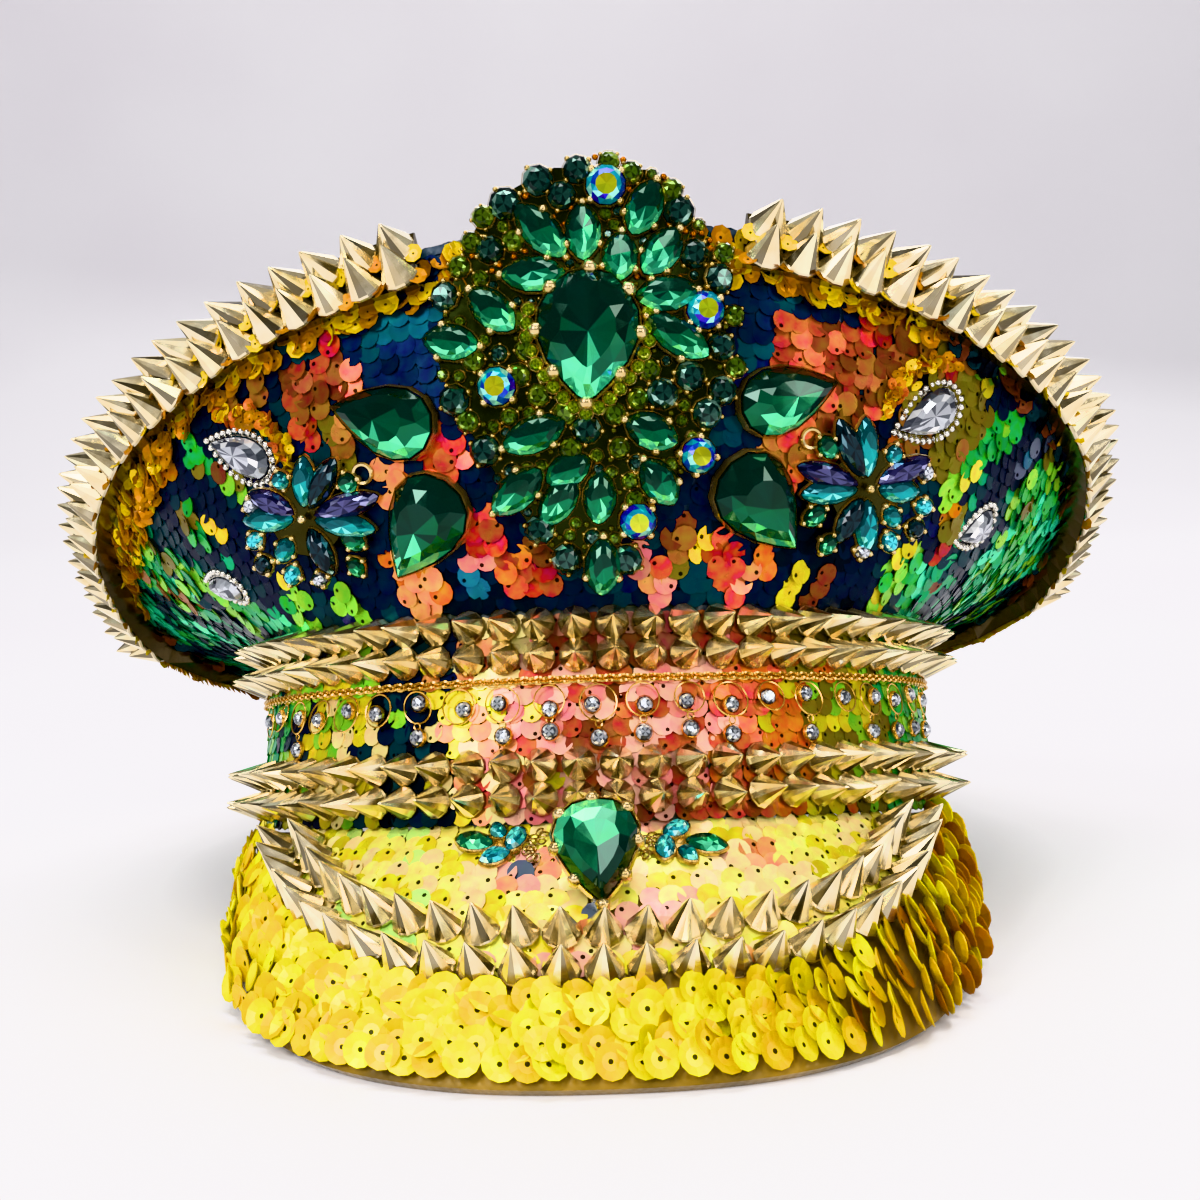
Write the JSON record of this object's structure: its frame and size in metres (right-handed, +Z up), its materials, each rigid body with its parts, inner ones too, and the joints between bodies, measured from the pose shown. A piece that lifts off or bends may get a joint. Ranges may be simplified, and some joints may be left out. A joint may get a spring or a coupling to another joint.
{
  "type": "captain hat",
  "caption": "Peaked captain's hat with a high flared crown, rows of gold cone spikes on the edge, band and visor, sequin cloth and green stones in a front brooch.",
  "frame": {"origin": "centre of the hat's bounding box on the surface that it stands on", "axes": "+Z up, -Y the front of the hat where the visor and the brooch are, +X the wearer's left"},
  "size_m": [0.287, 0.2984, 0.1885],
  "materials": {
    "crown_fabric": "shiny sequin cloth, deep blue and green with patches of other colours",
    "band_fabric": "shiny sequin cloth in bands of colour",
    "visor_fabric": "pale shiny sequins on a stiff peak, black underside",
    "gold_sequin": "cupped metallic gold sequins",
    "gold_spike": "polished pale gold",
    "gold_chain": "polished gold",
    "gold_setting": "pale gold with dark recesses",
    "silver_rim": "polished silver beading",
    "emerald_stone": "cut green glass",
    "teal_stone": "cut teal and violet glass",
    "iridescent_stone": "cut glass with an iridescent coat",
    "clear_stone": "cut clear glass"
  },
  "bodies": {
    "root": {"hat_band": "band_fabric", "crown_side": "crown_fabric", "crown_top": "crown_fabric", "crown_edge_trim": "gold_sequin", "crown_spikes_outer": "gold_spike", "crown_spikes_inner": "gold_spike", "band_chain": "gold_chain", "visor": "visor_fabric", "visor_sequin_trim": "gold_sequin", "visor_spikes_inner": "gold_spike", "visor_spikes_outer": "gold_spike", "visor_gem": "emerald_stone", "visor_gem_setting": "gold_setting", "visor_cluster_left": "teal_stone", "visor_cluster_right": "teal_stone", "brooch_base": "gold_setting", "brooch_main_stone": "emerald_stone", "flower_left": "teal_stone", "flower_right": "teal_stone", "band_spikes_1": "gold_spike", "band_spikes_2": "gold_spike", "band_spikes_3": "gold_spike", "band_spikes_4": "gold_spike", "brooch_marquise_1": "emerald_stone", "brooch_marquise_2": "emerald_stone", "brooch_marquise_3": "emerald_stone", "brooch_marquise_4": "emerald_stone", "brooch_marquise_5": "emerald_stone", "brooch_marquise_6": "emerald_stone", "brooch_marquise_7": "emerald_stone", "brooch_marquise_8": "emerald_stone", "brooch_marquise_9": "emerald_stone", "brooch_marquise_10": "emerald_stone", "brooch_marquise_11": "emerald_stone", "brooch_marquise_12": "emerald_stone", "brooch_marquise_13": "emerald_stone", "brooch_marquise_14": "emerald_stone", "brooch_marquise_15": "emerald_stone", "brooch_round_1": "iridescent_stone", "brooch_round_2": "iridescent_stone", "brooch_round_3": "iridescent_stone", "brooch_round_4": "iridescent_stone", "brooch_round_5": "iridescent_stone", "side_stone_left_upper": "emerald_stone", "side_setting_left_upper": "gold_setting", "crystal_left_upper": "clear_stone", "crystal_rim_left_upper": "silver_rim", "side_stone_left_lower": "emerald_stone", "side_setting_left_lower": "gold_setting", "crystal_left_lower": "clear_stone", "crystal_rim_left_lower": "silver_rim", "side_stone_right_upper": "emerald_stone", "side_setting_right_upper": "gold_setting", "crystal_right_upper": "clear_stone", "crystal_rim_right_upper": "silver_rim", "side_stone_right_lower": "emerald_stone", "side_setting_right_lower": "gold_setting", "crystal_right_lower": "clear_stone", "crystal_rim_right_lower": "silver_rim"}
  },
  "joints": []
}
